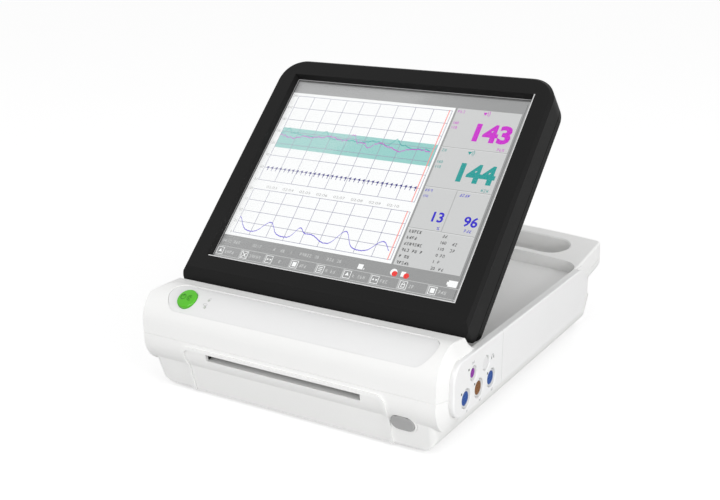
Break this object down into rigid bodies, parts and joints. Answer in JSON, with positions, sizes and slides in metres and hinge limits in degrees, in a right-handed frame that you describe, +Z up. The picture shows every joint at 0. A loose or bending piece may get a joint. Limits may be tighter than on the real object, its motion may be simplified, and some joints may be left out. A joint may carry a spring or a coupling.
{
  "type": "fetal doppler monitor",
  "caption": "Bench-top fetal heart monitor: sloping folding display over a tray, rounded front with a power button, paper drawer below, probe ports on the side, carrying handle behind.",
  "frame": {"origin": "under the middle of the monitor's bounding box, on the surface it stands on", "axes": "+X to the operator's right, +Y from the front to the handle at the back, +Z up"},
  "size_m": [0.3078, 0.3778, 0.2674],
  "materials": {
    "white_shell": "fine matte texture",
    "panel_white": "satin",
    "inset_grey": "satin membrane",
    "bezel_black": "dark satin",
    "screen_glass": "clear, anti-glare",
    "lcd": "lit screen face on a dark module",
    "board_green": "solder mask",
    "steel": "plated",
    "spring_steel": "drawn wire",
    "rubber_black": "matte",
    "rubber_grey": "matte",
    "button_green": "satin",
    "latch_grey": "fine texture",
    "lens": "frosted",
    "gear_white": "acetal",
    "head_aluminium": "extruded",
    "motor_steel": "plated can",
    "paper": "folded paper with a printed grid",
    "port_blue": "satin",
    "port_brown": "satin",
    "port_purple": "satin",
    "port_white": "satin",
    "supply": "folded tray with components",
    "battery": "wrapped pack",
    "connector_dark": "moulded",
    "speaker_dark": "paper cone and frame"
  },
  "bodies": {
    "casing": {"base_tub": "white_shell", "battery_door": "white_shell", "battery_pack": "battery", "bus_sockets": "steel", "case_screws": "steel", "drawer_rails": "gear_white", "front_inset": "inset_grey", "ground_post": "steel", "handle_grip": "white_shell", "hinge_towers": "steel", "idler_clip": "steel", "latch_bracket": "steel", "latch_spring": "spring_steel", "latch_surround": "white_shell", "left_front_panel": "panel_white", "left_rear_panel": "panel_white", "light_pipes": "lens", "main_board": "board_green", "mains_inlet": "connector_dark", "mains_pins": "steel", "network_socket": "connector_dark", "port_blank_plug": "port_white", "port_blue_inserts": "port_blue", "port_board": "board_green", "port_brown_insert": "port_brown", "port_large_shells": "port_white", "port_purple_insert": "port_purple", "port_small_shells": "port_white", "power_spring": "spring_steel", "power_supply": "supply", "power_switch": "connector_dark", "print_head": "head_aluminium", "printer_frame": "steel", "printer_motor": "motor_steel", "rear_panel": "panel_white", "right_front_panel": "panel_white", "right_rear_panel": "panel_white", "rubber_feet": "rubber_grey", "serial_socket": "steel", "speaker": "speaker_dark", "top_cover": "white_shell", "tray_pads": "rubber_grey"},
    "display": {"display_bezel": "bezel_black", "display_glass": "screen_glass", "lcd_panel": "lcd", "display_cover": "bezel_black", "display_board": "board_green", "hinge_lugs": "steel", "hinge_pins": "steel"},
    "power": {"power_button": "button_green"},
    "latch": {"latch_button": "latch_grey"},
    "drawer": {"drawer_front": "white_shell", "drawer_box": "panel_white", "paper_pack": "paper"},
    "platen": {"platen_roller": "rubber_black", "platen_shaft": "steel", "platen_gear": "gear_white"},
    "idler": {"idler_gear": "gear_white"},
    "rotor": {"motor_pinion": "gear_white", "motor_shaft": "steel"}
  },
  "joints": [
    {"name": "display_tilt", "type": "hinge", "parent": "casing", "child": "display", "pos_m": [0, -0.11856, 0.10036], "axis": [1, 0, 0], "range_deg": [-44.5, 25.5]},
    {"name": "power_press", "type": "slide", "parent": "casing", "child": "power", "axis": [0, 0.5664, -0.8241], "range_m": [0, 0.0014], "stiffness_N_per_m": 600, "springref_m": -0.0015, "deforming": ["power_spring"]},
    {"name": "latch_press", "type": "slide", "parent": "casing", "child": "latch", "axis": [0, 0.9563, 0.2924], "range_m": [0, 0.003], "stiffness_N_per_m": 450, "springref_m": -0.002, "deforming": ["latch_spring"]},
    {"name": "drawer_slide", "type": "slide", "parent": "casing", "child": "drawer", "axis": [0, -1, 0], "range_m": [0, 0.085]},
    {"name": "platen_spin", "type": "hinge", "parent": "drawer", "child": "platen", "pos_m": [0, -0.15736, 0.0346], "axis": [1, 0, 0], "continuous": true},
    {"name": "idler_spin", "type": "hinge", "parent": "casing", "child": "idler", "pos_m": [0, -0.13816, 0.0346], "axis": [1, 0, 0], "continuous": true},
    {"name": "motor_spin", "type": "hinge", "parent": "casing", "child": "rotor", "pos_m": [0, -0.12798, 0.04478], "axis": [1, 0, 0], "continuous": true}
  ],
  "couplings": [
    {"joint": "idler_spin", "follows": "platen_spin", "ratio": -1},
    {"joint": "motor_spin", "follows": "platen_spin", "ratio": 2}
  ]
}
